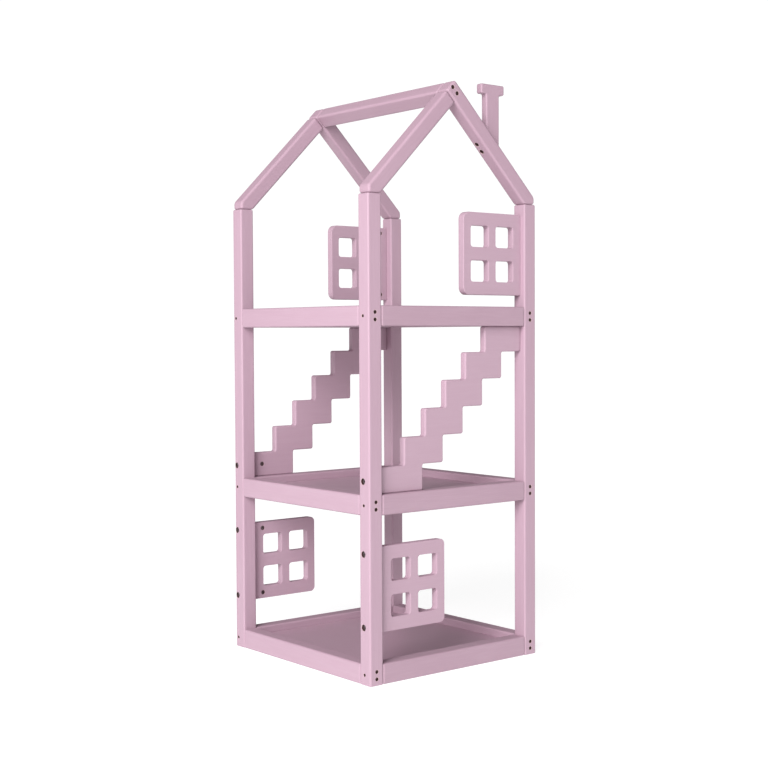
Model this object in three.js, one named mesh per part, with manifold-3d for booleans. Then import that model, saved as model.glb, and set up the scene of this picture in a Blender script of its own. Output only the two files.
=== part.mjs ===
// A wooden dollhouse. Four corner posts are joined by three rings of rails, with a floor panel in each ring.
// Two gables of rafters carry a ridge beam. The window boards and the stair boards are bolted to the posts,
// and a chimney board stands on the front right rafter.
// Millimetres. +Z is up, +X runs along the front gable, +Y runs from the front gable to the rear one.
// The origin is on the ground, in the middle of the footprint.

import * as THREE from 'three';
import { mergeVertices } from 'three/addons/utils/BufferGeometryUtils.js';
import Module from 'manifold-3d';

const wasm = await Module();
wasm.setup();

// Frame
const width = 500;
const depth = 528;
const postSide = 36;
const postHeight = 1059;
const edgeRadius = 4;
const slantGap = 0.3; // left between two pieces that meet on a slant
const cutterOverrun = 1; // a cutter starts this far outside the face that it drills

// Rails and floors
const railHeight = 45;
const railBottoms = { bottom: 0, middle: 367, upper: 775 };
const floorThickness = 9;
const floorEngagement = 6;
const grooveDepth = 7;
const grooveClearance = 0.2; // above and below the panel

// Roof, at 45 degrees
const rafterThickness = 36;
const rafterEdge = 3;
const eaveInset = 2.5; // from the post's outer face to the rafter's
const eaveRadius = 14;

// Boards: windows, stairs and chimney
const boardThickness = 18;
const boardOffset = { front: 4.5, rear: 9 }; // from the middle of the post to the board's, towards the rear
const boardEdge = 2;
const boardCornerRadius = 12;

// Windows
const windowHeight = 188;
const windowBar = 22.5;
const windowPostBar = { lower: 33.5, upper: 24 };
const windowRail = 30; // the horizontal bars
const paneWidth = 55;
const paneRadius = 6;
const windowBottoms = { lower: 110.5, upper: 846.5 };

// Stairs
const stepCount = 5;
const firstTread = 58.4; // above the rail
const stepRise = 61.4;
const stepRun = 60.4;
const firstRiser = 72.5; // from the left post to the first riser
const firstUnderside = 125.7; // from the left post to the end of the stair's foot
const stepRadius = 5;

// Chimney
const chimneyMiddle = 127;
const shaftWidth = 40;
const capWidth = 71;
const capHeight = 22.5;
const capTop = 1328;

// Furniture bolts and barrel nuts
const boltHeadRadius = 6.5;
const boltHeadThickness = 5;
const boltHeadChamfer = 0.8;
const boltShankRadius = 3;
const socketRadius = 2.6;
const socketDepth = 3;
const counterboreRadius = 7;
const counterboreDepth = 9;
const boltPastNut = 6.5;
const nutRadius = 5;
const nutLength = 14;
const nutRecess = 2; // from the board's face to the nut
const boreClearance = 0.3;
const nutInset = { window_lower: 31.5, window_upper: 21.5, stair: 31.5 };
const windowBoltInset = 14.5; // from the window's lower and upper edges
const stairFootBolt = 441.5;
const stairHeadBolt = 745.5;

// Wood screws
const screwHeadRadius = 4.5;
const screwShankRadius = 2.2;
const screwHeadDepth = 3;
const screwHeadRim = 0.6;
const screwTip = 4;
const screwRecess = 1;
const ridgeScrewLength = 75;
const ridgeScrewInsets = [7, 25]; // along the rafter, from its upper end
const chimneyScrewLength = 58;
const chimneyScrewPlaces = [84.5, 99.5]; // x on the rafter's lower face

// Facets
const arcSegments = 2;
const roundSegments = 12;
const fastenerSegments = 10;

// Worked out from the above
const postX = (width - postSide) / 2;
const postY = (depth - postSide) / 2;
const innerX = width / 2 - postSide;
const innerY = depth / 2 - postSide;
const sides = { left: -1, right: 1 };
const ends = { front: -1, rear: 1 };
const levels = Object.keys(railBottoms);
const slant = Math.SQRT1_2;
const roofInside = postHeight + innerX; // the lower faces of the rafters lie on |x| + z = roofInside
const roofOutside = roofInside + rafterThickness / slant; // and the upper faces on |x| + z = roofOutside
const stairBottom = railBottoms.middle + railHeight;
const stairTop = railBottoms.upper;

const paint = (name, color, roughness = 0.62, metalness = 0) => (
  new THREE.MeshStandardMaterial({ name, color, roughness, metalness })
);
const wood = () => paint('pink_paint', '#dcb9cd');
const steel = () => paint('zinc', '#b9a9ad', 0.4, 0.9);

// Turns an outline drawn in x and y, and extruded along z, into one in x and z, extruded towards the front.
const facingFront = new THREE.Matrix4().makeBasis(
  new THREE.Vector3(1, 0, 0),
  new THREE.Vector3(0, 0, 1),
  new THREE.Vector3(0, -1, 0),
);

// A closed outline from corners of x, y and an optional radius.
function outline(corners, Path = THREE.Shape) {
  const at = (index) => new THREE.Vector2(...corners[(index + corners.length) % corners.length]);
  const points = corners.flatMap(([, , radius = 0], index) => {
    const corner = at(index);
    if (radius === 0) return [corner];
    const back = at(index - 1).sub(corner).normalize();
    const on = at(index + 1).sub(corner).normalize();
    const half = Math.acos(back.dot(on)) / 2;
    const centre = back.clone().add(on).normalize().multiplyScalar(radius / Math.sin(half)).add(corner);
    const first = corner.clone().addScaledVector(back, radius / Math.tan(half)).sub(centre);
    const turn = Math.sign(on.cross(back)) * (Math.PI - 2 * half);
    const steps = Array.from({ length: arcSegments + 1 }, (_, step) => step / arcSegments);
    return steps.map((part) => first.clone().rotateAround(new THREE.Vector2(), part * turn).add(centre));
  });
  return new Path(points);
}

function rectangle(left, bottom, right, top, radius, Path) {
  const corners = [[left, bottom], [right, bottom], [right, top], [left, top]];
  return outline(corners.map(([x, y]) => [x, y, radius]), Path);
}

// An outline made solid, from z = 0 to z = length, with its two rims bevelled if edge is given.
function extrude(shape, length, edge = 0) {
  const geometry = new THREE.ExtrudeGeometry(shape, {
    depth: length - 2 * edge,
    steps: 1,
    bevelEnabled: edge > 0,
    bevelSize: edge,
    bevelThickness: edge,
    bevelOffset: -edge,
    bevelSegments: 1,
  });
  return geometry.translate(0, 0, edge);
}

// A solid of revolution about +Y from pairs of radius and height, lowest first.
function turned(profile, segments) {
  const points = profile.map(([radius, height]) => new THREE.Vector2(radius, height));
  return new THREE.LatheGeometry(points, segments);
}

// A turned shape laid along a direction.
function along(geometry, direction, start) {
  const turn = new THREE.Quaternion().setFromUnitVectors(new THREE.Vector3(0, 1, 0), direction);
  return geometry.applyQuaternion(turn).translate(start.x, start.y, start.z);
}

function solidOf(geometry) {
  const bare = geometry.clone();
  bare.deleteAttribute('normal');
  bare.deleteAttribute('uv');
  const merged = mergeVertices(bare);
  const corners = merged.index.array;
  const triangles = [];
  for (let first = 0; first < corners.length; first += 3) {
    const [a, b, c] = corners.slice(first, first + 3);
    if (a !== b && b !== c && c !== a) triangles.push(a, b, c);
  }
  return new wasm.Manifold(new wasm.Mesh({
    numProp: 3,
    vertProperties: new Float32Array(merged.attributes.position.array),
    triVerts: new Uint32Array(triangles),
  }));
}

// A geometry with the cutters taken out of it.
function cut(geometry, cutters) {
  const solid = cutters.reduce((left, cutter) => left.subtract(solidOf(cutter)), solidOf(geometry));
  const mesh = solid.getMesh();
  const result = new THREE.BufferGeometry();
  result.setAttribute('position', new THREE.BufferAttribute(mesh.vertProperties, 3));
  result.setIndex(new THREE.BufferAttribute(mesh.triVerts, 1));
  result.computeVertexNormals();
  return result;
}

// The bolts that hold the boards: the post that each goes through, its height, and where its nut lies.
function boltsOf(board) {
  if (board === 'stair') {
    return [
      { label: 'foot', side: 'left', height: stairFootBolt, inset: nutInset.stair },
      { label: 'head', side: 'right', height: stairHeadBolt, inset: nutInset.stair },
    ];
  }
  const level = board.replace('window_', '');
  const side = level === 'lower' ? 'left' : 'right';
  const bottom = windowBottoms[level];
  return [
    { label: 'low', side, height: bottom + windowBoltInset, inset: nutInset[board] },
    { label: 'high', side, height: bottom + windowHeight - windowBoltInset, inset: nutInset[board] },
  ];
}

const boltLength = (inset) => postSide - counterboreDepth + inset + boltPastNut;

// Cuts the counterbore and the bolt's bore, in a frame with x = 0 on the post's inner face, pointing inwards.
function boltCutter({ side, inset }, x, y, z) {
  const bore = boltShankRadius + boreClearance;
  const profile = [
    [0, -cutterOverrun],
    [counterboreRadius, -cutterOverrun],
    [counterboreRadius, counterboreDepth],
    [bore, counterboreDepth],
    [bore, counterboreDepth + boltLength(inset) + boreClearance],
    [0, counterboreDepth + boltLength(inset) + boreClearance],
  ];
  const inwards = new THREE.Vector3(-sides[side], 0, 0);
  const start = new THREE.Vector3(x + sides[side] * postSide, y, z);
  return along(turned(profile, roundSegments), inwards, start);
}

// Cuts the blind hole for a barrel nut, from the board's inward face.
function nutCutter(inwardSign, x, z) {
  const radius = nutRadius + boreClearance;
  const holeDepth = nutRecess + nutLength + boreClearance;
  const profile = [[0, -cutterOverrun], [radius, -cutterOverrun], [radius, holeDepth], [0, holeDepth]];
  const start = new THREE.Vector3(x, inwardSign * boardThickness / 2, z);
  return along(turned(profile, roundSegments), new THREE.Vector3(0, -inwardSign, 0), start);
}

function post(side, end) {
  const half = postSide / 2;
  const blank = extrude(rectangle(-half, -half, half, half, edgeRadius), postHeight);
  const boards = ['window_lower', 'stair', 'window_upper'];
  const bolts = boards.flatMap(boltsOf).filter((bolt) => bolt.side === side);
  const innerFace = -sides[side] * half;
  return cut(blank, bolts.map((bolt) => boltCutter(bolt, innerFace, boardOffset[end], bolt.height)));
}

// A rail's section with the groove for the floor, open towards +x, extruded along z.
function rail(length) {
  const half = postSide / 2;
  const grooveLow = (railHeight - floorThickness) / 2 - grooveClearance;
  const grooveHigh = (railHeight + floorThickness) / 2 + grooveClearance;
  const section = outline([
    [-half, 0, edgeRadius],
    [half, 0, edgeRadius],
    [half, grooveLow],
    [half - grooveDepth, grooveLow],
    [half - grooveDepth, grooveHigh],
    [half, grooveHigh],
    [half, railHeight, edgeRadius],
    [-half, railHeight, edgeRadius],
  ]);
  return extrude(section, length).applyMatrix4(facingFront).translate(0, length / 2, 0);
}

// A floor panel, notched around the posts.
function floorPanel() {
  const reachX = innerX + floorEngagement;
  const reachY = innerY + floorEngagement;
  const notchX = innerX - slantGap;
  const notchY = innerY - slantGap;
  const quarter = [[reachX, notchY], [notchX, notchY], [notchX, reachY]];
  const mirrored = quarter.map(([x, y]) => [-x, y]).reverse();
  const half = [...quarter, ...mirrored];
  return extrude(outline([...half, ...half.map(([x, y]) => [-x, -y])]), floorThickness);
}

// The right rafter runs on to the apex, and the left one butts against its lower face.
function rafter(side) {
  const sign = sides[side];
  const drop = rafterThickness * slant;
  const eave = width / 2 - eaveInset;
  const foot = [[innerX, postHeight], [eave, postHeight], [eave, roofOutside - eave, eaveRadius]];
  const rightHead = [[0, roofOutside], [-drop, roofOutside - drop]];
  const short = slantGap * slant;
  const leftHead = [[drop + short, roofOutside - drop - short], [short, roofInside - short]];
  const head = side === 'right' ? rightHead : leftHead;
  const corners = [...foot, ...head].map(([x, z, radius]) => [sign * x, z, radius]);
  const turnedRight = side === 'right' ? corners : corners.reverse();
  return extrude(outline(turnedRight), postSide, rafterEdge)
    .applyMatrix4(facingFront)
    .translate(0, postSide / 2, 0);
}

function ridgeBeam() {
  const half = rafterThickness / 2;
  return extrude(rectangle(-half, -half, half, half, edgeRadius), 2 * innerY)
    .rotateZ(Math.PI / 4)
    .applyMatrix4(facingFront)
    .translate(0, innerY, (roofInside + roofOutside) / 2);
}

// A board drawn in x and z, with its thickness shared about y = 0.
function board(shape) {
  return extrude(shape, boardThickness, boardEdge)
    .applyMatrix4(facingFront)
    .translate(0, boardThickness / 2, 0);
}

// A window, from x = 0 at the post's inner face into the opening.
function window(level, inwardSign) {
  const side = level === 'lower' ? 'left' : 'right';
  const into = -sides[side];
  const postBar = windowPostBar[level];
  const reach = postBar + 2 * (paneWidth + windowBar);
  const across = (start, end) => [start * into, end * into].sort((a, b) => a - b);
  const [left, right] = across(0, reach);
  const corners = [[left, 0], [right, 0], [right, windowHeight], [left, windowHeight]];
  const shape = outline(corners.map(([x, z]) => (x === 0 ? [x, z] : [x, z, boardCornerRadius])));
  const paneHeight = (windowHeight - 3 * windowRail) / 2;
  for (const column of [0, 1]) {
    for (const row of [0, 1]) {
      const start = postBar + column * (paneWidth + windowBar);
      const low = windowRail + row * (paneHeight + windowRail);
      const [paneLeft, paneRight] = across(start, start + paneWidth);
      shape.holes.push(rectangle(paneLeft, low, paneRight, low + paneHeight, paneRadius, THREE.Path));
    }
  }
  const cutters = boltsOf(`window_${level}`).flatMap((bolt) => {
    const height = bolt.height - windowBottoms[level];
    return [boltCutter(bolt, 0, 0, height), nutCutter(inwardSign, into * bolt.inset, height)];
  });
  return cut(board(shape), cutters);
}

// A stair board, with x = 0 in the middle of the house and z = 0 on the middle rail.
function stair(inwardSign) {
  const height = stairTop - stairBottom;
  const tread = (step) => (step < stepCount ? firstTread + step * stepRise : height);
  const corners = [[-innerX, 0], [firstUnderside - innerX, 0, stepRadius]];
  for (let step = 0; step < stepCount; step += 1) {
    const start = firstUnderside - innerX + step * stepRun;
    const last = step === stepCount - 1;
    corners.push([start, tread(step), stepRadius]);
    corners.push(last ? [innerX, tread(step)] : [start + stepRun, tread(step), stepRadius]);
  }
  corners.push([innerX, height]);
  for (let step = stepCount - 1; step >= 0; step -= 1) {
    const riser = firstRiser - innerX + step * stepRun;
    corners.push([riser, tread(step + 1), stepRadius]);
    corners.push([riser, tread(step), stepRadius]);
  }
  corners.push([-innerX, firstTread]);
  const cutters = boltsOf('stair').flatMap((bolt) => {
    const z = bolt.height - stairBottom;
    const face = sides[bolt.side] * innerX;
    return [
      boltCutter(bolt, face, 0, z),
      nutCutter(inwardSign, face - sides[bolt.side] * bolt.inset, z),
    ];
  });
  return cut(board(outline(corners)), cutters);
}

function chimney() {
  const left = chimneyMiddle - shaftWidth / 2;
  const right = chimneyMiddle + shaftWidth / 2;
  const capLow = capTop - capHeight;
  const footAt = (x) => roofOutside - x + slantGap / slant;
  const shape = outline([
    [left, footAt(left)],
    [right, footAt(right)],
    [right, capLow, edgeRadius],
    [chimneyMiddle + capWidth / 2, capLow, edgeRadius],
    [chimneyMiddle + capWidth / 2, capTop, edgeRadius],
    [chimneyMiddle - capWidth / 2, capTop, edgeRadius],
    [chimneyMiddle - capWidth / 2, capLow, edgeRadius],
    [left, capLow, edgeRadius],
  ]);
  return board(shape);
}

// A countersunk screw with its head at y = 0 and its tip up, and the hole that takes it.
function screw(length) {
  return turned([
    [0, 0],
    [screwHeadRadius, 0],
    [screwHeadRadius, screwHeadRim],
    [screwShankRadius, screwHeadDepth],
    [screwShankRadius, length - screwTip],
    [0, length],
  ], fastenerSegments);
}

function screwCutter(length, direction, start) {
  const wide = screwHeadRadius + boreClearance;
  const narrow = screwShankRadius + boreClearance;
  const profile = [
    [0, -cutterOverrun],
    [wide, -cutterOverrun],
    [wide, screwRecess + screwHeadRim + boreClearance],
    [narrow, screwRecess + screwHeadDepth + boreClearance],
    [narrow, screwRecess + length - screwTip + boreClearance],
    [0, screwRecess + length + boreClearance],
  ];
  return along(turned(profile, roundSegments), direction, start);
}

// The screws through the front right rafter: two into the ridge beam, and two up into the chimney.
const upSlope = new THREE.Vector3(slant, 0, slant);
const ridgeScrews = ridgeScrewInsets.map((inset) => {
  const rafterTop = new THREE.Vector3(0, -depth / 2, roofOutside);
  const toLowerCorner = new THREE.Vector3(-slant, 0, -slant).multiplyScalar(rafterThickness / 2);
  const downSlope = new THREE.Vector3(slant, 0, -slant).multiplyScalar(inset);
  return {
    length: ridgeScrewLength,
    direction: new THREE.Vector3(0, 1, 0),
    start: rafterTop.add(toLowerCorner).add(downSlope),
  };
});
const chimneyScrews = chimneyScrewPlaces.map((x) => ({
  length: chimneyScrewLength,
  direction: upSlope,
  start: new THREE.Vector3(x, boardOffset.front - postY, roofInside - x),
}));
const cutterOf = ({ length, direction, start }) => screwCutter(length, direction, start);

// A furniture bolt with its head's outer face at y = 0 and a round socket in it.
function bolt(inset) {
  return turned([
    [0, socketDepth],
    [socketRadius, socketDepth],
    [socketRadius, 0],
    [boltHeadRadius - boltHeadChamfer, 0],
    [boltHeadRadius, boltHeadChamfer],
    [boltHeadRadius, boltHeadThickness],
    [boltShankRadius, boltHeadThickness],
    [boltShankRadius, boltHeadThickness + boltLength(inset)],
    [0, boltHeadThickness + boltLength(inset)],
  ], fastenerSegments);
}

// A barrel nut along y, with its threaded cross hole along x.
function barrelNut() {
  const barrel = new THREE.CylinderGeometry(nutRadius, nutRadius, nutLength, roundSegments);
  const holeRadius = boltShankRadius + boreClearance;
  const holeLength = 2 * (nutRadius + cutterOverrun);
  const hole = new THREE.CylinderGeometry(holeRadius, holeRadius, holeLength, fastenerSegments);
  return cut(barrel, [hole.rotateZ(Math.PI / 2)]);
}

const dollhouse = new THREE.Group();

function add(parent, name, geometry, material, position = [0, 0, 0]) {
  const mesh = new THREE.Mesh(geometry, material);
  mesh.name = name;
  mesh.position.set(...position);
  parent.add(mesh);
  return mesh;
}

// Posts
for (const [side, sideSign] of Object.entries(sides)) {
  for (const [end, endSign] of Object.entries(ends)) {
    const place = [sideSign * postX, endSign * postY, 0];
    add(dollhouse, `post_${end}_${side}`, post(side, end), wood(), place);
  }
}

// One ring of rails and its floor at each level. The grooves face inwards.
for (const level of levels) {
  const ring = new THREE.Group();
  ring.position.z = railBottoms[level];
  for (const [side, sign] of Object.entries(sides)) {
    const mesh = add(ring, `rail_${level}_${side}`, rail(2 * innerY), wood(), [sign * postX, 0, 0]);
    mesh.rotation.z = sign > 0 ? Math.PI : 0;
  }
  for (const [end, sign] of Object.entries(ends)) {
    const mesh = add(ring, `rail_${level}_${end}`, rail(2 * innerX), wood(), [0, sign * postY, 0]);
    mesh.rotation.z = -sign * Math.PI / 2;
  }
  add(ring, `floor_${level}`, floorPanel(), wood(), [0, 0, (railHeight - floorThickness) / 2]);
  dollhouse.add(ring);
}

// Roof
for (const [end, endSign] of Object.entries(ends)) {
  for (const side of Object.keys(sides)) {
    const blank = rafter(side).translate(0, endSign * postY, 0);
    const drilled = end === 'front' && side === 'right';
    const screws = drilled ? [...ridgeScrews, ...chimneyScrews] : [];
    add(dollhouse, `rafter_${end}_${side}`, drilled ? cut(blank, screws.map(cutterOf)) : blank, wood());
  }
}
add(dollhouse, 'ridge_beam', cut(ridgeBeam(), ridgeScrews.map(cutterOf)), wood());
const chimneyY = boardOffset.front - postY;
add(dollhouse, 'chimney', cut(chimney().translate(0, chimneyY, 0), chimneyScrews.map(cutterOf)), wood());

// Boards, with their bolts and barrel nuts
function addFasteners(boardName, boardKind, y) {
  for (const { label, side, height, inset } of boltsOf(boardKind)) {
    const sign = sides[side];
    const headPlace = [sign * (width / 2 - counterboreDepth + boltHeadThickness), y, height];
    const nutPlace = [sign * (innerX - inset), y, height];
    const boltMesh = add(dollhouse, `bolt_${boardName}_${label}`, bolt(inset), steel(), headPlace);
    boltMesh.rotation.z = sign * Math.PI / 2;
    add(dollhouse, `nut_${boardName}_${label}`, barrelNut(), steel(), nutPlace);
  }
}

for (const [end, endSign] of Object.entries(ends)) {
  const y = endSign * postY + boardOffset[end];
  const inwardSign = -endSign;
  for (const level of ['lower', 'upper']) {
    const faceX = level === 'lower' ? -innerX : innerX;
    const place = [faceX, y, windowBottoms[level]];
    add(dollhouse, `window_${level}_${end}`, window(level, inwardSign), wood(), place);
    addFasteners(`window_${level}_${end}`, `window_${level}`, y);
  }
  add(dollhouse, `stair_${end}`, stair(inwardSign), wood(), [0, y, stairBottom]);
  addFasteners(`stair_${end}`, 'stair', y);
}

// Wood screws
function addScrews(name, screws) {
  screws.forEach(({ length, direction, start }, index) => {
    const head = start.clone().addScaledVector(direction, screwRecess);
    const mesh = add(dollhouse, `${name}_${index + 1}`, screw(length), steel(), head.toArray());
    mesh.quaternion.setFromUnitVectors(new THREE.Vector3(0, 1, 0), direction);
  });
}
addScrews('ridge_screw', ridgeScrews);
addScrews('chimney_screw', chimneyScrews);

export default dollhouse;
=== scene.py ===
import math

import bpy
from mathutils import Matrix, Vector


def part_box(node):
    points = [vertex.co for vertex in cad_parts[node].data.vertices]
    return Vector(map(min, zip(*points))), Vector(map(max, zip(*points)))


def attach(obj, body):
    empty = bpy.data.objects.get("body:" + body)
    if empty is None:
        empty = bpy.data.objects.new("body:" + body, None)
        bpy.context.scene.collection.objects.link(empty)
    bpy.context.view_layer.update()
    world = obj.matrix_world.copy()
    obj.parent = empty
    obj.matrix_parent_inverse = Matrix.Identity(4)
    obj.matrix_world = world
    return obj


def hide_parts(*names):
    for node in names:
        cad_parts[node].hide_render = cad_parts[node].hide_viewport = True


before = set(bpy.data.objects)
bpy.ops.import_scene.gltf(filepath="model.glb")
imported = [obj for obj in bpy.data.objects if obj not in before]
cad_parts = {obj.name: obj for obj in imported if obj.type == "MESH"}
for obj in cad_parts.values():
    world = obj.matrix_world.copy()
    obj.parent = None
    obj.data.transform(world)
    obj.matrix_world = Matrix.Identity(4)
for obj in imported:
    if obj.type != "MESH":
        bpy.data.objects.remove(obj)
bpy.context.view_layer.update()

mm = 0.001
gap = 0.3 * mm  # left where two pieces meet on a slant
overrun = 2  # how far a hole's cutter starts outside the face, in millimetres


# Small helpers: selecting, naming and finishing a piece

def deselectAll():
    active = bpy.context.view_layer.objects.active
    if active is not None and active.mode != "OBJECT":
        bpy.ops.object.mode_set(mode="OBJECT")
    bpy.ops.object.select_all(action="DESELECT")


def takeHold(piece):
    deselectAll()
    piece.select_set(True)
    bpy.context.view_layer.objects.active = piece


def settle(name):
    piece = bpy.context.active_object
    piece.name = name
    piece.data.name = name
    bpy.ops.object.transform_apply(location=True, rotation=True, scale=True)
    return piece


def pickEdges(piece, wanted):
    takeHold(piece)
    bpy.ops.object.mode_set(mode="EDIT")
    bpy.ops.mesh.select_mode(type="EDGE")
    bpy.ops.mesh.select_all(action="DESELECT")
    bpy.ops.object.mode_set(mode="OBJECT")
    points = piece.data.vertices
    for edge in piece.data.edges:
        edge.select = wanted(points[edge.vertices[0]].co, points[edge.vertices[1]].co)
    bpy.ops.object.mode_set(mode="EDIT")


def roundEdges(piece, radius, steps, wanted):
    pickEdges(piece, wanted)
    bpy.ops.mesh.bevel(offset=radius, offset_type="OFFSET", segments=steps, profile=0.5, affect="EDGES")
    bpy.ops.object.mode_set(mode="OBJECT")


def runsAlong(axis):
    def test(first, second):
        step = second - first
        return abs(step[axis]) > 0.999 * step.length
    return test


def cornerAt(places, reach=0.5 * mm):
    def test(first, second):
        alongY = abs(first.x - second.x) < 0.01 * mm and abs(first.z - second.z) < 0.01 * mm
        return alongY and any(abs(first.x - x) < reach and abs(first.z - z) < reach for x, z in places)
    return test


def applyModifier(piece, kind, **settings):
    takeHold(piece)
    bpy.ops.object.modifier_add(type=kind)
    modifier = piece.modifiers[-1]
    for key, value in settings.items():
        setattr(modifier, key, value)
    bpy.ops.object.modifier_apply(modifier=modifier.name)


def softenRims(piece, radius, steps, sharperThan=35):
    applyModifier(piece, "BEVEL", width=radius, segments=steps, limit_method="ANGLE",
                  angle_limit=math.radians(sharperThan), use_clamp_overlap=True, harden_normals=False)


def smoothShade(piece, sharperThan=32):
    takeHold(piece)
    bpy.ops.object.shade_smooth_by_angle(angle=math.radians(sharperThan))
    applyModifier(piece, "WEIGHTED_NORMAL", keep_sharp=True, weight=80)


def cutAway(piece, cutter):
    applyModifier(piece, "BOOLEAN", operation="DIFFERENCE", solver="EXACT", object=cutter,
                  material_mode="TRANSFER")
    bpy.data.objects.remove(cutter)


def block(name, low, high, turn=(0, 0, 0)):
    deselectAll()
    low = Vector(low)
    high = Vector(high)
    bpy.ops.mesh.primitive_cube_add(size=1, location=(low + high) / 2, rotation=turn, scale=high - low)
    return settle(name)


def startChain(point):
    deselectAll()
    bpy.ops.mesh.primitive_plane_add(size=mm)
    bpy.ops.object.mode_set(mode="EDIT")
    bpy.ops.mesh.select_mode(type="VERT")
    bpy.ops.mesh.merge(type="CENTER")
    bpy.ops.transform.translate(value=point)


def chainTo(before, after):
    step = Vector(after) - Vector(before)
    bpy.ops.mesh.extrude_vertices_move(TRANSFORM_OT_translate={"value": step})


# A board drawn as corners in x and z, from its front face to its rear face
def cutOut(name, corners, frontY, rearY):
    points = [Vector((x, frontY, z)) for x, z in corners]
    startChain(points[0])
    for before, after in zip(points, points[1:] + points[:1]):
        chainTo(before, after)
    bpy.ops.mesh.select_all(action="SELECT")
    bpy.ops.mesh.remove_doubles(threshold=0.01 * mm)
    bpy.ops.mesh.edge_face_add()
    bpy.ops.mesh.extrude_region_move(TRANSFORM_OT_translate={"value": (0, rearY - frontY, 0)})
    bpy.ops.mesh.select_all(action="SELECT")
    bpy.ops.mesh.normals_make_consistent(inside=False)
    bpy.ops.object.mode_set(mode="OBJECT")
    return settle(name)


# A turned piece about z, from pairs of radius and height
def turned(name, profile, steps):
    points = [Vector((radius, 0, height)) for radius, height in profile]
    startChain(points[0])
    for before, after in zip(points, points[1:]):
        chainTo(before, after)
    bpy.ops.mesh.select_all(action="SELECT")
    bpy.ops.mesh.spin(steps=steps, angle=2 * math.pi, center=(0, 0, 0), axis=(0, 0, 1))
    bpy.ops.mesh.select_all(action="SELECT")
    bpy.ops.mesh.remove_doubles(threshold=0.01 * mm)
    bpy.ops.mesh.normals_make_consistent(inside=False)
    bpy.ops.object.mode_set(mode="OBJECT")
    return settle(name)


# A copy with its own mesh, its z axis turned to a direction and its origin brought to a place
def placeCopy(model, name, place, direction):
    takeHold(model)
    bpy.ops.object.duplicate(linked=False)
    copy = bpy.context.active_object
    copy.rotation_euler = Vector(direction).to_track_quat("Z", "Y").to_euler()
    copy.location = place
    return settle(name)


def putAway(*models):
    for model in models:
        bpy.data.objects.remove(model)


# Shader sockets as numbers

class Wire:
    def __init__(self, tree, socket):
        self.tree = tree
        self.socket = socket

    def make(self, kind, settings, inputs, output=0):
        made = self.tree.nodes.new(kind)
        for key, value in settings.items():
            setattr(made, key, value)
        for key, value in inputs.items():
            if isinstance(value, Wire):
                self.tree.links.new(value.socket, made.inputs[key])
            else:
                made.inputs[key].default_value = value
        return Wire(self.tree, made.outputs[output])

    def maths(self, operation, first, second):
        return self.make("ShaderNodeMath", {"operation": operation}, {0: first, 1: second})

    def __add__(self, other):
        return self.maths("ADD", self, other)

    def __radd__(self, other):
        return self.maths("ADD", other, self)

    def __sub__(self, other):
        return self.maths("SUBTRACT", self, other)

    def __rsub__(self, other):
        return self.maths("SUBTRACT", other, self)

    def __mul__(self, other):
        return self.maths("MULTIPLY", self, other)

    def __rmul__(self, other):
        return self.maths("MULTIPLY", other, self)


def newMaterial(name):
    material = bpy.data.materials.new(name)
    material.use_nodes = True
    tree = material.node_tree
    shader = tree.nodes["Principled BSDF"]
    coordinates = tree.nodes.new("ShaderNodeTexCoord")
    return material, tree, shader, Wire(tree, coordinates.outputs["Object"])


def blendColours(wire, share, first, second):
    mixed = wire.make("ShaderNodeMix", {"data_type": "RGBA"}, {"Factor": share}, output=2)
    node = mixed.socket.node
    for socket, value in ((node.inputs[6], first), (node.inputs[7], second)):
        if isinstance(value, Wire):
            wire.tree.links.new(value.socket, socket)
        else:
            socket.default_value = (*value, 1)
    return mixed


def plug(tree, wire, socket):
    tree.links.new(wire.socket, socket)


def between(wire, low, high):
    settings = {"interpolation_type": "SMOOTHSTEP"}
    return wire.make("ShaderNodeMapRange", settings, {"Value": wire, "From Min": low, "From Max": high})


paintLook = {
    "colour": (0.440, 0.300, 0.370),
    "thinColour": (0.404, 0.264, 0.330),
    "paleColour": (0.460, 0.320, 0.390),
    "knotColour": (0.320, 0.190, 0.238),
    "roughness": 0.5,
    "grainDepth": 0.07,
    "brushDepth": 0.03,
    "knotsPerMetre": 3.4,
    "knotSize": 0.045,
    "knotStretch": 0.55,
    "knotShare": 0.5,
    "knotHollow": 0.05,
    "alongGrain": 0.045,
    "grainScale": 420,
    "bandScale": 95,
    "bandDepth": 0.08,
    "dimpleScale": 1500,
    "patchScale": 5,
    "patchShare": 0.35,
    "lineShare": 0.42,
    "bump": 0.4,
    "bumpDistance": 0.0012,
    "sheen": 0.35,
}
# A copy of the same paint for the windows and stairs, with shallower grain and a slightly lighter colour that
# is painted light
litBoardPaintLook = paintLook | {
    "colour": (0.444, 0.306, 0.375),
    "thinColour": (0.420, 0.280, 0.347),
    "grainDepth": 0.04,
}
# A darker copy of the same paint for the roof pieces and the chimney: painted shade, where less light reaches
# them
shadedRoofPaintLook = paintLook | {
    "colour": (0.424, 0.286, 0.354),
    "thinColour": (0.392, 0.252, 0.318),
    "grainDepth": 0.05,
}
# A darker copy of the same paint for the rails along x: painted shade
shadedRailPaintLook = paintLook | {"colour": (0.404, 0.274, 0.338), "thinColour": (0.366, 0.238, 0.298)}
floorPaintLook = paintLook | {"roughness": 0.34, "grainDepth": 0.03, "knotSize": 0.02}


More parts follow.
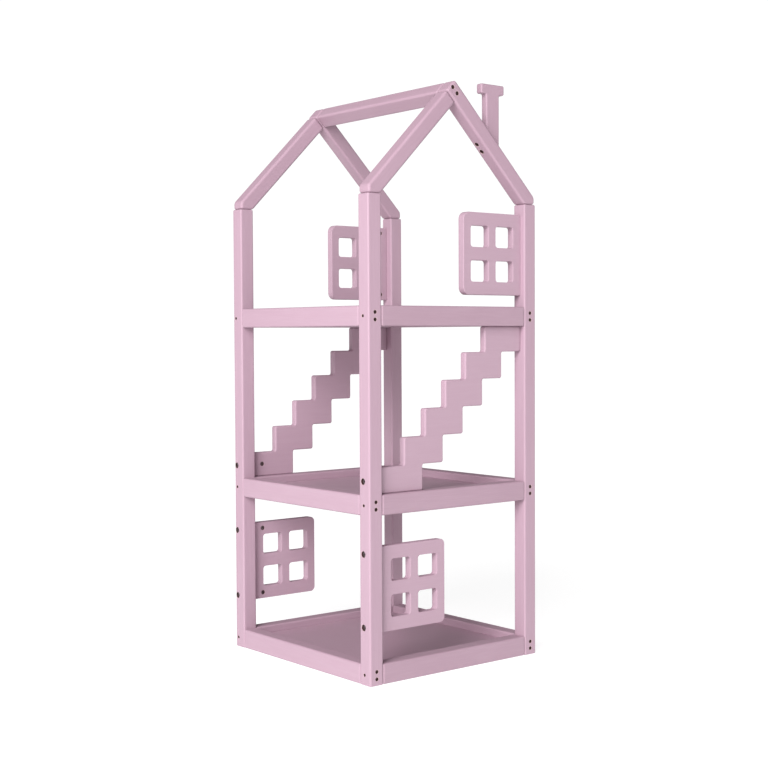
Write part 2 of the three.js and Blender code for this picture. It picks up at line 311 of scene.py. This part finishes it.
# Matt paint over softwood: grain lines that run along the piece, a few knots, and the roller's fine dimples
def paintedWood(name, turn, look=paintLook):
    material, tree, shader, place = newMaterial(name)
    aligned = place.make("ShaderNodeMapping", {}, {"Vector": place, "Rotation": turn})
    stretch = (look["alongGrain"], 1, 1)
    stretched = aligned.make("ShaderNodeMapping", {}, {"Vector": aligned, "Scale": stretch})
    wander = aligned.make("ShaderNodeTexNoise", {}, {
        "Vector": aligned, "Scale": look["patchScale"], "Detail": 2})
    grain = stretched.make("ShaderNodeTexNoise", {}, {
        "Vector": stretched, "Scale": look["grainScale"], "Detail": 4, "Roughness": 0.55, "Distortion": 0.3})
    bands = stretched.make("ShaderNodeTexNoise", {}, {
        "Vector": stretched, "Scale": look["bandScale"], "Detail": 3, "Roughness": 0.5, "Distortion": 0.6})
    knotStretch = (look["knotStretch"], 1, 1)
    knotPlace = aligned.make("ShaderNodeMapping", {}, {"Vector": aligned, "Scale": knotStretch})
    knots = knotPlace.make("ShaderNodeTexVoronoi", {"feature": "F1"}, {
        "Vector": knotPlace, "Scale": look["knotsPerMetre"], "Randomness": 1})
    knotEdge = knots + 0.02 * grain
    knotMask = 1 - between(knotEdge, look["knotSize"] * 0.4, look["knotSize"])
    dimples = aligned.make("ShaderNodeTexNoise", {}, {
        "Vector": aligned, "Scale": look["dimpleScale"], "Detail": 2})
    patches = between(wander, 0.35, 0.68)
    lines = between(grain * 0.6 + bands * 0.4, 0.40, 0.66)
    body = blendColours(place, patches * look["patchShare"], look["colour"], look["paleColour"])
    grained = blendColours(place, (1 - lines) * look["lineShare"], body, look["thinColour"])
    knotted = blendColours(place, knotMask * look["knotShare"], grained, look["knotColour"])
    plug(tree, knotted, shader.inputs["Base Color"])
    plug(tree, look["roughness"] + 0.10 * (grain - 0.5) + 0.06 * (1 - patches), shader.inputs["Roughness"])
    grooves = grain * look["grainDepth"] + bands * look["bandDepth"]
    height = grooves + dimples * look["brushDepth"] - knotMask * look["knotHollow"]
    bump = height.make("ShaderNodeBump", {}, {
        "Height": height, "Strength": look["bump"], "Distance": look["bumpDistance"]})
    plug(tree, bump, shader.inputs["Normal"])
    shader.inputs["Specular IOR Level"].default_value = look["sheen"]
    return material


quarter = math.pi / 2
# Every piece wears the same pink paint. The darker rail, roof and chimney copies are painted shade, and the
# lighter board copy is painted light.
paints = {
    "x": paintedWood("shadedPaintAlongX", (0, 0, 0), shadedRailPaintLook),
    "y": paintedWood("paintAlongY", (0, 0, quarter)),
    "z": paintedWood("paintUpright", (0, quarter, 0)),
    "chimney": paintedWood("chimneyShadedPaint", (0, quarter, 0), shadedRoofPaintLook),
    "board": paintedWood("litBoardPaint", (0, 0, 0), litBoardPaintLook),
    "floor": paintedWood("floorPaint", (0, 0, 0), floorPaintLook),
    "ridge": paintedWood("ridgeShadedPaint", (0, 0, quarter), shadedRoofPaintLook),
    "rightSlope": paintedWood("shadedPaintRightSlope", (0, -quarter / 2, 0), shadedRoofPaintLook),
    "leftSlope": paintedWood("shadedPaintLeftSlope", (0, quarter / 2, 0), shadedRoofPaintLook),
}

# The inside colours are bare wood made near black: painted shade in the holes. The rim colours are chipped
# paint.
drillLook = {
    "inside": ((0.045, 0.016, 0.020), (0.090, 0.040, 0.038)),
    "rim": ((0.52, 0.38, 0.40), (0.44, 0.30, 0.29)),
}


# Bare wood inside the drilled holes, made near black as painted shade of the hole's depth, and where the
# drill has chipped the paint around them
def drilledWood(name):
    material, tree, shader, place = newMaterial(f"{name}Wood")
    fibres = place.make("ShaderNodeTexNoise", {}, {"Vector": place, "Scale": 900, "Detail": 4})
    body = blendColours(place, between(fibres, 0.4, 0.7), *drillLook[name])
    plug(tree, body, shader.inputs["Base Color"])
    plug(tree, 0.85 + 0.1 * fibres, shader.inputs["Roughness"])
    bump = fibres.make("ShaderNodeBump", {}, {"Height": fibres, "Strength": 0.5, "Distance": 0.0008})
    plug(tree, bump, shader.inputs["Normal"])
    return material


# Plated steel with fine scratches
def platedSteel(name, colour, darkColour, roughness):
    material, tree, shader, place = newMaterial(name)
    scratches = place.make("ShaderNodeTexNoise", {}, {
        "Vector": place, "Scale": 2600, "Detail": 5, "Roughness": 0.7})
    stains = place.make("ShaderNodeTexNoise", {}, {"Vector": place, "Scale": 260, "Detail": 3})
    body = blendColours(place, between(stains, 0.42, 0.66), colour, darkColour)
    plug(tree, body, shader.inputs["Base Color"])
    plug(tree, roughness + 0.22 * (scratches - 0.5) + 0.12 * stains, shader.inputs["Roughness"])
    bump = scratches.make("ShaderNodeBump", {}, {"Height": scratches, "Strength": 0.35, "Distance": 0.0003})
    plug(tree, bump, shader.inputs["Normal"])
    shader.inputs["Metallic"].default_value = 0.9
    return material


# Hole walls: bare wood with painted shade
boreWoodAndShade = drilledWood("inside")
chipped = drilledWood("rim")
steels = {
    "bolt": platedSteel("boltSteel", (0.30, 0.25, 0.26), (0.17, 0.13, 0.14), 0.40),
    "nut": platedSteel("nutSteel", (0.22, 0.17, 0.18), (0.11, 0.08, 0.09), 0.46),
    "screw": platedSteel("screwSteel", (0.13, 0.08, 0.08), (0.06, 0.035, 0.035), 0.5),
}
print("materials ready")


# The first material slot may be missing, or left empty by a cut
def coat(piece, material):
    if len(piece.data.materials) == 0:
        piece.data.materials.append(material)
    piece.data.materials[0] = material


def dress(piece, material, node=None):
    coat(piece, material)
    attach(piece, "root")
    if node is not None:
        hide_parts(node)


# Where everything is

def bx(node):
    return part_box(node)


ends = {"front": -1, "rear": 1}
sides = {"left": -1, "right": 1}
levels = ("bottom", "middle", "upper")
postLow, postHigh = bx("post_front_left")
postSide = postHigh.x - postLow.x
outerX = -postLow.x
outerY = -postLow.y
innerX = outerX - postSide
innerY = outerY - postSide
postTop = postHigh.z
slant = math.sqrt(0.5)

# Fasteners, each modelled once about the z axis and pointing up, and the cutters that make their holes.
# Their dictionaries are in millimetres.

boltLook = {
    "headRadius": 6.3, "headThickness": 5, "shankRadius": 3, "threadDepth": 0.35, "threadPitch": 1.25,
    "threadLength": 26, "socketAcross": 5, "socketDepth": 3, "counterbore": 7, "ring": 0.5, "chamfer": 0.7,
    "tip": 0.6, "slack": 0.3, "steps": 32,
}


def boltModel(name, length):
    look = boltLook
    shank = look["shankRadius"]
    head = look["headRadius"]
    under = look["headThickness"]
    profile = [(0, 0), (head - look["chamfer"], 0), (head, look["chamfer"]), (head, under), (shank, under)]
    height = length - look["threadLength"]
    while height < length - look["threadPitch"]:
        profile.append((shank, height))
        profile.append((shank - look["threadDepth"], height + look["threadPitch"] / 2))
        height += look["threadPitch"]
    profile += [(shank - look["tip"], length), (0, length)]
    bolt = turned(name, [(radius * mm, place * mm) for radius, place in profile], look["steps"])
    deselectAll()
    bpy.ops.mesh.primitive_cylinder_add(vertices=6, radius=look["socketAcross"] / math.sqrt(3) * mm,
                                        depth=2 * look["socketDepth"] * mm)
    cutAway(bolt, settle("socket"))
    return bolt


mouthLook = {"ringDepth": 0.35, "flare": 1, "steps": 32}


# The cutter for a hole. Its wide start leaves a chipped ring around the mouth, this much wider than the hole.
def holeModel(name, mouth, ring, profile):
    ringDepth = mouthLook["ringDepth"]
    start = [(0, -overrun), (mouth + ring + mouthLook["flare"], -overrun), (mouth + ring, 0)]
    whole = start + [(mouth, ringDepth)] + profile
    cutter = turned(name, [(radius * mm, place * mm) for radius, place in whole], mouthLook["steps"])
    cutter.data.materials.append(boreWoodAndShade)
    cutter.data.materials.append(chipped)
    for face in cutter.data.polygons:
        face.material_index = 1 if face.center.z < ringDepth * mm else 0
    return cutter


def boltHole(name, length, depth):
    wide = boltLook["counterbore"]
    narrow = boltLook["shankRadius"] + boltLook["slack"]
    return holeModel(name, wide, boltLook["ring"], [
        (wide, depth), (narrow, depth), (narrow, depth + length), (0, depth + length)])


nutLook = {
    "radius": 4.9, "length": 14, "rim": 0.6, "slotWidth": 1.6, "slotDepth": 1.6, "hole": 3.25, "bore": 5.3,
    "depth": 16.3, "ring": 0.4, "steps": 32, "holeSteps": 24,
}


def nutModel():
    look = nutLook
    half = look["length"] / 2
    rim = look["rim"]
    radius = look["radius"]
    profile = [(0, -half), (radius - rim, -half), (radius, rim - half),
               (radius, half - rim), (radius - rim, half), (0, half)]
    nut = turned("nutModel", [(wide * mm, place * mm) for wide, place in profile], look["steps"])
    deselectAll()
    bpy.ops.mesh.primitive_cylinder_add(vertices=look["holeSteps"], radius=look["hole"] * mm,
                                        depth=4 * radius * mm, rotation=(0, quarter, 0))
    cutAway(nut, settle("threadedHole"))
    slotLow = (-2 * radius * mm, -look["slotWidth"] / 2 * mm, (half - look["slotDepth"]) * mm)
    slotHigh = (2 * radius * mm, look["slotWidth"] / 2 * mm, (half + overrun) * mm)
    cutAway(nut, block("driverSlot", slotLow, slotHigh))
    return nut


screwLook = {
    "ridge": {"head": 4.3, "shank": 2.2, "length": 75, "recess": 2.4, "mouth": 4.6, "ring": 1},
    "chimney": {"head": 4.8, "shank": 2.2, "length": 56, "recess": 3.6, "mouth": 5.4, "ring": 1.3},
    "pair": {"head": 3.7, "shank": 1.9, "length": 68, "recess": 2.6, "mouth": 4.1, "ring": 0.9},
    "single": {"head": 3.1, "shank": 1.7, "length": 62, "recess": 2.0, "mouth": 3.4, "ring": 0.9},
}


screwThread = {"startShare": 0.45, "endBefore": 6, "pitch": 2.2, "depth": 0.5, "tip": 4, "tipDepth": 0.4}
screwHead = {"chamfer": 0.3, "rim": 0.35, "armShare": 0.62, "armWidthShare": 0.13, "recess": 1.7, "steps": 24}
screwSlack = {"shank": 0.25, "seat": 0.5, "end": 0.5}


def screwModel(name, look):
    head = look["head"]
    shank = look["shank"]
    length = look["length"]
    rim = screwHead["rim"]
    profile = [(0, 0), (head - screwHead["chamfer"], 0), (head, rim), (shank, rim + head - shank)]
    height = length * screwThread["startShare"]
    while height < length - screwThread["endBefore"]:
        profile.append((shank, height))
        profile.append((shank - screwThread["depth"], height + screwThread["pitch"] / 2))
        height += screwThread["pitch"]
    profile += [(shank - screwThread["tipDepth"], length - screwThread["tip"]), (0, length)]
    screw = turned(name, [(radius * mm, place * mm) for radius, place in profile], screwHead["steps"])
    arm = head * screwHead["armShare"] * mm
    thick = head * screwHead["armWidthShare"] * mm
    deep = screwHead["recess"] * mm
    for wide, tall in ((arm, thick), (thick, arm)):
        cutAway(screw, block("crossRecess", (-wide, -tall, -deep), (wide, tall, deep)))
    return screw


def screwHole(name, look):
    mouth = look["mouth"]
    narrow = look["shank"] + screwSlack["shank"]
    seat = look["recess"] + screwSlack["seat"]
    bottom = look["recess"] + look["length"] + screwSlack["end"]
    return holeModel(name, mouth, look["ring"], [
        (mouth, seat), (narrow, seat + mouth - narrow), (narrow, bottom), (0, bottom)])


screws = {kind: screwModel(f"screwModel_{kind}", look) for kind, look in screwLook.items()}
screwHoles = {kind: screwHole(f"screwHole_{kind}", look) for kind, look in screwLook.items()}
nut = nutModel()
nutHole = holeModel("nutHole", nutLook["bore"], nutLook["ring"], [
    (nutLook["bore"], nutLook["depth"]), (0, nutLook["depth"])])
print("fasteners modelled")

# What is drilled into each node: the cutter, the place of the hole's mouth, and its direction
drillings = {}


def drillInto(names, cutter, place, direction):
    for name in names:
        drillings.setdefault(name, []).append((cutter, Vector(place), Vector(direction)))


def drill(piece, node):
    for cutter, place, direction in drillings.get(node, []):
        cutAway(piece, placeCopy(cutter, "cutter", place, direction))


def drive(name, kind, place, direction, node=None):
    look = screwLook[kind]
    direction = Vector(direction).normalized()
    head = Vector(place) + direction * look["recess"] * mm
    screw = placeCopy(screws[kind], name, head, direction)
    smoothShade(screw)
    dress(screw, steels["screw"], node)


# Rail screws: a pair through each post into the side rail, and one into the end rail
railScrewLook = {"pairSpread": 8, "singleFromRear": {"front": 15.5, "rear": 10.5}}
for level in levels:
    railLow, railHigh = bx(f"rail_{level}_left")
    middle = (railLow.z + railHigh.z) / 2
    for end, endSign in ends.items():
        for side, sideSign in sides.items():
            post = f"post_{end}_{side}"
            for label, rise in (("low", -railScrewLook["pairSpread"]), ("high", railScrewLook["pairSpread"])):
                place = (sideSign * (outerX - postSide / 2), endSign * outerY, middle + rise * mm)
                inwards = (0, -endSign, 0)
                drillInto([post, f"rail_{level}_{side}"], screwHoles["pair"], place, inwards)
                drive(f"screw_{level}_{end}_{side}_{label}", "pair", place, inwards)
            rearFace = bx(post)[1].y
            place = (sideSign * outerX, rearFace - railScrewLook["singleFromRear"][end] * mm, middle)
            drillInto([post, f"rail_{level}_{end}"], screwHoles["single"], place, (-sideSign, 0, 0))
            drive(f"screw_{level}_{end}_{side}_single", "single", place, (-sideSign, 0, 0))
print("rail screws driven")

# Ridge screws at both gables and chimney screws, along their CAD pieces
for index in (1, 2):
    low, high = bx(f"ridge_screw_{index}")
    mouth = Vector(((low.x + high.x) / 2, -outerY, (low.z + high.z) / 2))
    drillInto(["rafter_front_right", "ridge_beam"], screwHoles["ridge"], mouth, (0, 1, 0))
    drive(f"ridgeScrew_front_{index}", "ridge", mouth, (0, 1, 0), node=f"ridge_screw_{index}")
    rearMouth = Vector((mouth.x, outerY, mouth.z))
    drillInto(["rafter_rear_right", "ridge_beam"], screwHoles["ridge"], rearMouth, (0, -1, 0))
    drive(f"ridgeScrew_rear_{index}", "ridge", rearMouth, (0, -1, 0))
    low, high = bx(f"chimney_screw_{index}")
    upSlope = Vector((slant, 0, slant))
    centre = (low + high) / 2
    along = centre.x + centre.z
    foot = (along - (postTop + innerX)) / 2
    mouth = centre - Vector((foot, 0, foot))
    drillInto(["rafter_front_right", "chimney"], screwHoles["chimney"], mouth, upSlope)
    drive(f"chimneyScrew_{index}", "chimney", mouth, upSlope, node=f"chimney_screw_{index}")
print("roof screws driven")

# Furniture bolts and their barrel nuts
boltNodes = sorted(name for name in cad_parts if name.startswith("bolt_"))
boltModels = {}
for node in boltNodes:
    board = node[len("bolt_"):].rsplit("_", 1)[0]
    end = board.rsplit("_", 1)[1]
    low, high = bx(node)
    nutNode = node.replace("bolt_", "nut_")
    nutLow, nutHigh = bx(nutNode)
    y = (low.y + high.y) / 2
    z = (low.z + high.z) / 2
    onLeft = low.x < 0
    side = "left" if onLeft else "right"
    inwards = Vector((1 if onLeft else -1, 0, 0))
    headX = low.x if onLeft else high.x
    length = round((high.x - low.x) / mm, 2)
    headDepth = outerX / mm - abs(headX) / mm
    if length not in boltModels:
        shank = length - boltLook["headThickness"]
        seat = headDepth + boltLook["headThickness"]
        reach = shank + boltLook["slack"]
        boltModels[length] = (boltModel("boltModel", length), boltHole("boltHole", reach, seat))
    model, hole = boltModels[length]
    mouth = (-outerX if onLeft else outerX, y, z)
    drillInto([f"post_{end}_{side}", board], hole, mouth, inwards)
    bolt = placeCopy(model, f"furnitureBolt{node[4:]}", (headX, y, z), inwards)
    smoothShade(bolt)
    dress(bolt, steels["bolt"], node)
    boardLow, boardHigh = bx(board)
    faceY = boardLow.y if end == "rear" else boardHigh.y
    outwards = Vector((0, -1 if end == "rear" else 1, 0))
    nutCentre = (nutLow + nutHigh) / 2
    drillInto([board], nutHole, (nutCentre.x, faceY, nutCentre.z), -outwards)
    barrel = placeCopy(nut, f"barrelNut{node[4:]}", nutCentre, outwards)
    smoothShade(barrel)
    dress(barrel, steels["nut"], nutNode)
print("bolts and nuts set")

# Timber. The dictionaries are in millimetres.
timberLook = {
    "edge": 4, "steps": 4, "topRim": 3, "topSteps": 3, "footRim": 1.5, "footSteps": 2, "floorRim": 0.8,
    "floorSteps": 2, "grooveSlack": (1, 1, 0.2),
}


def makePost(node):
    low, high = bx(node)
    post = block(node, low, high)
    roundEdges(post, timberLook["edge"] * mm, timberLook["steps"], runsAlong(2))
    near = 0.1 * mm
    roundEdges(post, timberLook["topRim"] * mm, timberLook["topSteps"],
               lambda first, second: min(first.z, second.z) > high.z - near)
    roundEdges(post, timberLook["footRim"] * mm, timberLook["footSteps"],
               lambda first, second: max(first.z, second.z) < low.z + near)
    return post


def makeRail(node, floorNode):
    low, high = bx(node)
    rail = block(node, low, high)
    softenRims(rail, timberLook["edge"] * mm, timberLook["steps"])
    floorLow, floorHigh = bx(floorNode)
    slack = Vector(timberLook["grooveSlack"]) * mm
    cutAway(rail, block("groove", floorLow - slack, floorHigh + slack))
    return rail


def makeFloor(node):
    low, high = bx(node)
    floor = block(node, low, high)
    for endSign in ends.values():
        for sideSign in sides.values():
            inner = Vector((sideSign * (innerX - gap), endSign * (innerY - gap), low.z - mm))
            outer = Vector((sideSign * outerX, endSign * outerY, high.z + mm))
            lowCorner = Vector(map(min, inner, outer))
            highCorner = Vector(map(max, inner, outer))
            cutAway(floor, block("notch", lowCorner, highCorner))
    softenRims(floor, timberLook["floorRim"] * mm, timberLook["floorSteps"])
    return floor


def finishTimber(piece, material, node):
    coat(piece, material)
    drill(piece, node)
    smoothShade(piece)
    piece.name = node + ".wood"
    dress(piece, material, node)


for end in ends:
    for side in sides:
        node = f"post_{end}_{side}"
        finishTimber(makePost(node), paints["z"], node)
print("posts made")

for level in levels:
    for place in (*ends, *sides):
        node = f"rail_{level}_{place}"
        grain = "x" if place in ends else "y"
        finishTimber(makeRail(node, f"floor_{level}"), paints[grain], node)
    node = f"floor_{level}"
    finishTimber(makeFloor(node), paints["floor"], node)
print("rails and floors made")

roofLook = {"edge": 6, "steps": 5, "eaveInset": 2.5, "eaveRadius": 12, "eaveSteps": 8}


# The right rafter runs on to the apex. The left one butts against its lower face.
def makeRafter(node, side):
    low, high = bx(node)
    sign = sides[side]
    inside = postTop + innerX
    rightLow, rightHigh = bx("rafter_front_right")
    outside = rightHigh.z
    drop = (outside - inside) / 2
    eave = outerX - roofLook["eaveInset"] * mm
    foot = [(innerX, postTop), (eave, postTop), (eave, outside - eave)]
    short = gap * slant
    heads = {
        "right": [(0, outside), (-drop, outside - drop)],
        "left": [(drop + short, outside - drop - short), (short, inside - short)],
    }
    corners = [(sign * x, z) for x, z in foot + heads[side]]
    rafter = cutOut(node, corners, low.y, high.y)
    roundEdges(rafter, roofLook["eaveRadius"] * mm * math.tan(math.pi / 8), roofLook["eaveSteps"],
               cornerAt([(sign * eave, outside - eave)]))
    softenRims(rafter, roofLook["edge"] * mm, roofLook["steps"])
    return rafter


for end in ends:
    for side in sides:
        node = f"rafter_{end}_{side}"
        finishTimber(makeRafter(node, side), paints[f"{side}Slope"], node)

beamHigh = bx("ridge_beam")[1]
rafterHigh = bx("rafter_front_right")[1]
beamSide = (rafterHigh.z - postTop - innerX) * slant
beamMiddle = Vector((0, 0, (rafterHigh.z + postTop + innerX) / 2))
reach = Vector((beamSide / 2, beamHigh.y, beamSide / 2))
beam = block("ridge_beam", beamMiddle - reach, beamMiddle + reach, turn=(0, math.pi / 4, 0))
softenRims(beam, roofLook["edge"] * mm, roofLook["steps"])
finishTimber(beam, paints["ridge"], "ridge_beam")
print("roof made")

boardLook = {
    "rim": 3.5, "rimSteps": 4, "freeCorner": {"lower": 12, "upper": 17}, "freeSteps": 8, "stepCorner": 5,
    "chimneyCorner": 4, "cornerSteps": 5, "sharperThan": 40,
}


windowLook = {
    "bar": 22.5, "rail": 30, "pane": 55, "paneCorner": 7, "paneSteps": 6,
    "postBar": {"lower": 33.5, "upper": 24},
}


def makeWindow(node, level):
    low, high = bx(node)
    onLeft = level == "lower"
    window = cutOut(node, [(low.x, low.z), (high.x, low.z), (high.x, high.z), (low.x, high.z)], low.y, high.y)
    freeX = high.x if onLeft else low.x
    roundEdges(window, boardLook["freeCorner"][level] * mm, boardLook["freeSteps"],
               cornerAt([(freeX, low.z), (freeX, high.z)]))
    paneHeight = ((high.z - low.z) / mm - 3 * windowLook["rail"]) / 2
    for column in range(2):
        for row in range(2):
            start = windowLook["postBar"][level] + column * (windowLook["pane"] + windowLook["bar"])
            near = low.x + start * mm if onLeft else high.x - (start + windowLook["pane"]) * mm
            sill = low.z + (windowLook["rail"] + row * (paneHeight + windowLook["rail"])) * mm
            pane = block("pane", (near, low.y - mm, sill),
                         (near + windowLook["pane"] * mm, high.y + mm, sill + paneHeight * mm))
            roundEdges(pane, windowLook["paneCorner"] * mm, windowLook["paneSteps"], runsAlong(1))
            cutAway(window, pane)
    softenRims(window, boardLook["rim"] * mm, boardLook["rimSteps"], boardLook["sharperThan"])
    return window


stairLook = {
    "steps": 5, "firstTread": 58.4, "rise": 61.4, "run": 60.4, "firstRiser": 72.5, "firstUnderside": 125.7,
}


def makeStair(node):
    low, high = bx(node)
    look = stairLook
    treads = [low.z + (look["firstTread"] + step * look["rise"]) * mm for step in range(look["steps"])]
    tops = treads[1:] + [high.z]
    lower = [(low.x, low.z), (low.x + look["firstUnderside"] * mm, low.z)]
    upper = [(low.x, treads[0])]
    for step, (tread, top) in enumerate(zip(treads, tops)):
        start = low.x + (look["firstUnderside"] + step * look["run"]) * mm
        last = step == look["steps"] - 1
        lower += [(start, tread), (high.x if last else start + look["run"] * mm, tread)]
        riser = low.x + (look["firstRiser"] + step * look["run"]) * mm
        upper += [(riser, tread), (riser, top)]
    upper.append((high.x, high.z))
    upper.reverse()
    corners = lower + upper
    stair = cutOut(node, corners, low.y, high.y)
    free = [(x, z) for x, z in corners if low.x + mm < x < high.x - mm]
    roundEdges(stair, boardLook["stepCorner"] * mm, boardLook["cornerSteps"], cornerAt(free))
    softenRims(stair, boardLook["rim"] * mm, boardLook["rimSteps"], boardLook["sharperThan"])
    return stair


chimneyLook = {"shaft": 40, "capHeight": 22.5}


def makeChimney(node):
    low, high = bx(node)
    middle = (low.x + high.x) / 2
    left = middle - chimneyLook["shaft"] / 2 * mm
    right = middle + chimneyLook["shaft"] / 2 * mm
    under = high.z - chimneyLook["capHeight"] * mm
    footLine = rafterHigh.z + gap / slant
    corners = [(left, footLine - left), (right, footLine - right), (right, under), (high.x, under),
               (high.x, high.z), (low.x, high.z), (low.x, under), (left, under)]
    chimney = cutOut(node, corners, low.y, high.y)
    roundEdges(chimney, boardLook["chimneyCorner"] * mm, boardLook["cornerSteps"], cornerAt(corners[2:]))
    softenRims(chimney, boardLook["rim"] * mm, boardLook["rimSteps"], boardLook["sharperThan"])
    return chimney


for end in ends:
    for level in ("lower", "upper"):
        node = f"window_{level}_{end}"
        finishTimber(makeWindow(node, level), paints["board"], node)
    finishTimber(makeStair(f"stair_{end}"), paints["board"], f"stair_{end}")
finishTimber(makeChimney("chimney"), paints["chimney"], "chimney")
print("boards made")

putAway(nut, nutHole, *screws.values(), *screwHoles.values())
for pair in boltModels.values():
    putAway(*pair)

# Floor, light and camera. The floor glows like a light table, so that it stays white around the feet.
floorLook = {
    "colour": (0.30, 0.30, 0.30), "patchColour": (0.27, 0.27, 0.27), "patchShare": 0.1, "patchScale": 3,
    "roughness": 0.95, "glow": 0.86, "radius": 40, "steps": 96, "below": 0.2 * mm,
}


def makeGround():
    look = floorLook
    deselectAll()
    bpy.ops.mesh.primitive_circle_add(vertices=look["steps"], radius=look["radius"], fill_type="NGON",
                                      location=(0, 0, -look["below"]))
    ground = settle("ground")
    material, tree, shader, place = newMaterial("groundPaper")
    patches = {"Vector": place, "Scale": look["patchScale"], "Detail": 2}
    speckle = place.make("ShaderNodeTexNoise", {}, patches)
    colour = blendColours(place, speckle * look["patchShare"], look["colour"], look["patchColour"])
    plug(tree, colour, shader.inputs["Base Color"])
    shader.inputs["Roughness"].default_value = look["roughness"]
    shader.inputs["Emission Color"].default_value = (1, 1, 1, 1)
    shader.inputs["Emission Strength"].default_value = look["glow"]
    ground.data.materials.append(material)


lightLook = {
    "world": 0.17,
    "backdrop": 1.05,
    "lampDistance": 4,
    "key": {"strength": 2.7, "angle": 34, "azimuth": -60, "height": 30, "colour": (1.0, 0.99, 0.99)},
    "window": {"power": 33, "size": 1.3, "place": (-2.2, -1.15, 1.35)},
    "fill": {"strength": 0.85, "angle": 60, "azimuth": -20, "height": 8, "colour": (0.98, 0.98, 1.0)},
}


# The camera sees a white backdrop, and the pieces are lit by a dimmer one
def makeWorld():
    world = bpy.data.worlds.new("studio")
    bpy.context.scene.world = world
    world.use_nodes = True
    tree = world.node_tree
    seen = tree.nodes["Background"]
    seen.inputs["Color"].default_value = (1, 1, 1, 1)
    seen.inputs["Strength"].default_value = lightLook["backdrop"]
    lighting = tree.nodes.new("ShaderNodeBackground")
    lighting.inputs["Color"].default_value = (1, 1, 1, 1)
    lighting.inputs["Strength"].default_value = lightLook["world"]
    path = tree.nodes.new("ShaderNodeLightPath")
    chosen = tree.nodes.new("ShaderNodeMixShader")
    tree.links.new(path.outputs["Is Camera Ray"], chosen.inputs[0])
    tree.links.new(lighting.outputs[0], chosen.inputs[1])
    tree.links.new(seen.outputs[0], chosen.inputs[2])
    tree.links.new(chosen.outputs[0], tree.nodes["World Output"].inputs["Surface"])


# A soft distant lamp. Its azimuth is from the front towards the right.
def makeLamp(name):
    look = lightLook[name]
    azimuth = math.radians(look["azimuth"])
    height = math.radians(look["height"])
    level = math.cos(height)
    towards = Vector((math.sin(azimuth) * level, -math.cos(azimuth) * level, math.sin(height)))
    deselectAll()
    bpy.ops.object.light_add(type="SUN", location=towards * lightLook["lampDistance"])
    lamp = bpy.context.active_object
    lamp.name = f"{name}Light"
    lamp.data.energy = look["strength"]
    lamp.data.angle = math.radians(look["angle"])
    lamp.data.color = look["colour"]
    lamp.rotation_euler = (-towards).to_track_quat("-Z", "Y").to_euler()


# A soft lamp near the left, which reaches the rear gable at a steeper angle than the front one
def makeWindowLight():
    look = lightLook["window"]
    deselectAll()
    bpy.ops.object.light_add(type="AREA", location=look["place"])
    lamp = bpy.context.active_object
    lamp.name = "windowLight"
    lamp.data.energy = look["power"]
    lamp.data.size = look["size"]
    aim = Vector((0, 0, postTop / 2)) - Vector(look["place"])
    lamp.rotation_euler = aim.to_track_quat("-Z", "Y").to_euler()


makeGround()
makeWorld()
makeWindowLight()
for name in ("key", "fill"):
    makeLamp(name)

cameraLook = {
    "azimuth": -38.891, "elevation": 2.071, "roll": -0.274, "distance": 3.32917,
    "aimHeight": 0.63877, "aimSide": 0.00326, "lens": 65.27,
}


def placeCamera():
    azimuth = math.radians(cameraLook["azimuth"])
    elevation = math.radians(cameraLook["elevation"])
    roll = math.radians(cameraLook["roll"])
    back = Vector((math.sin(azimuth) * math.cos(elevation), -math.cos(azimuth) * math.cos(elevation),
                   math.sin(elevation)))
    right = Vector((math.cos(azimuth), math.sin(azimuth), 0))
    up = back.cross(right)
    across = right * math.cos(roll) + up * math.sin(roll)
    upright = up * math.cos(roll) - right * math.sin(roll)
    aim = Vector((0, 0, cameraLook["aimHeight"])) + right * cameraLook["aimSide"]
    bpy.ops.object.camera_add(location=aim + back * cameraLook["distance"])
    camera = bpy.context.active_object
    camera.rotation_euler = Matrix((across, upright, back)).transposed().to_euler()
    camera.data.lens = cameraLook["lens"]
    camera.data.sensor_width = 36
    bpy.context.scene.camera = camera


deselectAll()
placeCamera()
bpy.context.scene.view_settings.view_transform = "Standard"
print("stage set")
